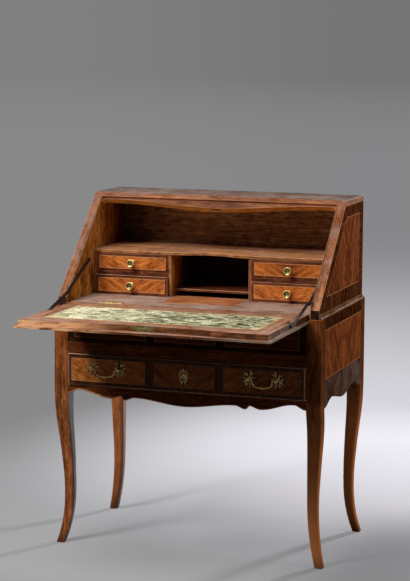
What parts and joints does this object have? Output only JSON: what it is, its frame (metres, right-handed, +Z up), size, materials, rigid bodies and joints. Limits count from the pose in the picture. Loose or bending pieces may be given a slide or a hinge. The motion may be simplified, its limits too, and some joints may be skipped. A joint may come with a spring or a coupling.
{
  "type": "slant-front desk",
  "caption": "Slant-front writing desk on cabriole legs, with a fall flap on folding stays, fitted interior of small drawers and niche, sliding well cover and a long drawer with bail handles.",
  "frame": {"origin": "on the floor under the middle of the desk's outline with its flap open", "axes": "+Z up, -Y towards the front, where the flap opens, +X to the right of someone facing the desk"},
  "size_m": [0.776, 0.7982, 0.97],
  "materials": {
    "veneer": "french polished veneer, worn edges",
    "banding": "dark polished crossbanding",
    "interior": "aged satin wood",
    "oak": "plain unpolished wood",
    "leather": "worn marbled leather",
    "brass": "aged cast brass",
    "iron": "dark wrought iron"
  },
  "bodies": {
    "case": {"front_leg_left": "veneer", "front_leg_right": "veneer", "back_leg_left": "veneer", "back_leg_right": "veneer", "lower_side_left": "veneer", "lower_side_right": "veneer", "front_apron": "veneer", "frieze_rail": "veneer", "desk_floor": "veneer", "upper_side_left": "veneer", "upper_side_right": "veneer", "top_board": "veneer", "header_rail": "veneer", "waist_moulding_left": "banding", "waist_moulding_right": "banding", "upper_back": "interior", "nest_shelf": "interior", "nest_divider_left": "interior", "nest_divider_right": "interior", "nest_cheek_left": "interior", "nest_cheek_right": "interior", "nest_rail_left": "interior", "nest_rail_right": "interior", "niche_floor": "interior", "lower_back": "oak", "well_floor": "oak", "drawer_runner_left": "oak", "drawer_runner_right": "oak", "hinge_desk_leaf_left": "brass", "hinge_desk_leaf_right": "brass"},
    "flap": {"flap_board": "veneer", "writing_leather": "leather", "flap_lock_plate": "brass", "hinge_flap_leaf_left": "brass", "hinge_flap_leaf_right": "brass"},
    "long_drawer": {"long_drawer_front": "veneer", "long_drawer_side_left": "oak", "long_drawer_side_right": "oak", "long_drawer_bottom": "oak", "long_drawer_back": "oak", "escutcheon": "brass", "handle_rosette_left_a": "brass", "handle_rosette_left_b": "brass", "handle_rosette_right_a": "brass", "handle_rosette_right_b": "brass"},
    "bail_left": {"handle_bail_left": "brass"},
    "bail_right": {"handle_bail_right": "brass"},
    "well_cover": {"well_cover": "interior"},
    "small_drawer_upper_left": {"small_drawer_upper_left": "veneer", "small_drawer_upper_left_knob": "brass"},
    "small_drawer_lower_left": {"small_drawer_lower_left": "veneer", "small_drawer_lower_left_knob": "brass"},
    "small_drawer_upper_right": {"small_drawer_upper_right": "veneer", "small_drawer_upper_right_knob": "brass"},
    "small_drawer_lower_right": {"small_drawer_lower_right": "veneer", "small_drawer_lower_right_knob": "brass"},
    "stay_lower_left": {"stay_lower_left": "iron"},
    "stay_upper_left": {"stay_upper_left": "iron"},
    "stay_lower_right": {"stay_lower_right": "iron"},
    "stay_upper_right": {"stay_upper_right": "iron"}
  },
  "joints": [
    {"name": "flap_hinge", "type": "hinge", "parent": "case", "child": "flap", "pos_m": [0, -0.03538, 0.6865], "axis": [1, 0, 0], "range_deg": [-135, 0]},
    {"name": "long_drawer_slide", "type": "slide", "parent": "case", "child": "long_drawer", "axis": [0, -1, 0], "range_m": [0, 0.28]},
    {"name": "well_cover_slide", "type": "slide", "parent": "case", "child": "well_cover", "axis": [0, 1, 0], "range_m": [0, 0.12]},
    {"name": "small_drawer_upper_left_slide", "type": "slide", "parent": "case", "child": "small_drawer_upper_left", "axis": [0, -1, 0], "range_m": [0, 0.15]},
    {"name": "small_drawer_lower_left_slide", "type": "slide", "parent": "case", "child": "small_drawer_lower_left", "axis": [0, -1, 0], "range_m": [-0.008, 0.15]},
    {"name": "small_drawer_upper_right_slide", "type": "slide", "parent": "case", "child": "small_drawer_upper_right", "axis": [0, -1, 0], "range_m": [0, 0.15]},
    {"name": "small_drawer_lower_right_slide", "type": "slide", "parent": "case", "child": "small_drawer_lower_right", "axis": [0, -1, 0], "range_m": [-0.004, 0.15]},
    {"name": "bail_hinge_left", "type": "hinge", "parent": "long_drawer", "child": "bail_left", "pos_m": [-0.2255, -0.07669, 0.5105], "axis": [-1, 0, 0], "range_deg": [0, 85]},
    {"name": "bail_hinge_right", "type": "hinge", "parent": "long_drawer", "child": "bail_right", "pos_m": [0.2255, -0.07669, 0.5105], "axis": [-1, 0, 0], "range_deg": [0, 85]},
    {"name": "stay_lower_pivot_left", "type": "hinge", "parent": "flap", "child": "stay_lower_left", "pos_m": [-0.3421, -0.19439, 0.679], "axis": [1, 0, 0], "range_deg": [-15.21, 0.1]},
    {"name": "stay_upper_pivot_left", "type": "hinge", "parent": "case", "child": "stay_upper_left", "pos_m": [-0.3455, 0.10283, 0.78633], "axis": [1, 0, 0], "range_deg": [-0.1, 8.76]},
    {"name": "stay_lower_pivot_right", "type": "hinge", "parent": "flap", "child": "stay_lower_right", "pos_m": [0.3421, -0.19439, 0.679], "axis": [1, 0, 0], "range_deg": [-15.21, 0.1]},
    {"name": "stay_upper_pivot_right", "type": "hinge", "parent": "case", "child": "stay_upper_right", "pos_m": [0.3455, 0.10283, 0.78633], "axis": [1, 0, 0], "range_deg": [-0.1, 8.76]}
  ],
  "couplings": [
    {"joint": "stay_lower_pivot_left", "follows": "flap_hinge", "ratio": 0.11194},
    {"joint": "stay_upper_pivot_left", "follows": "flap_hinge", "ratio": -0.06413},
    {"joint": "stay_lower_pivot_right", "follows": "flap_hinge", "ratio": 0.11194},
    {"joint": "stay_upper_pivot_right", "follows": "flap_hinge", "ratio": -0.06413}
  ]
}
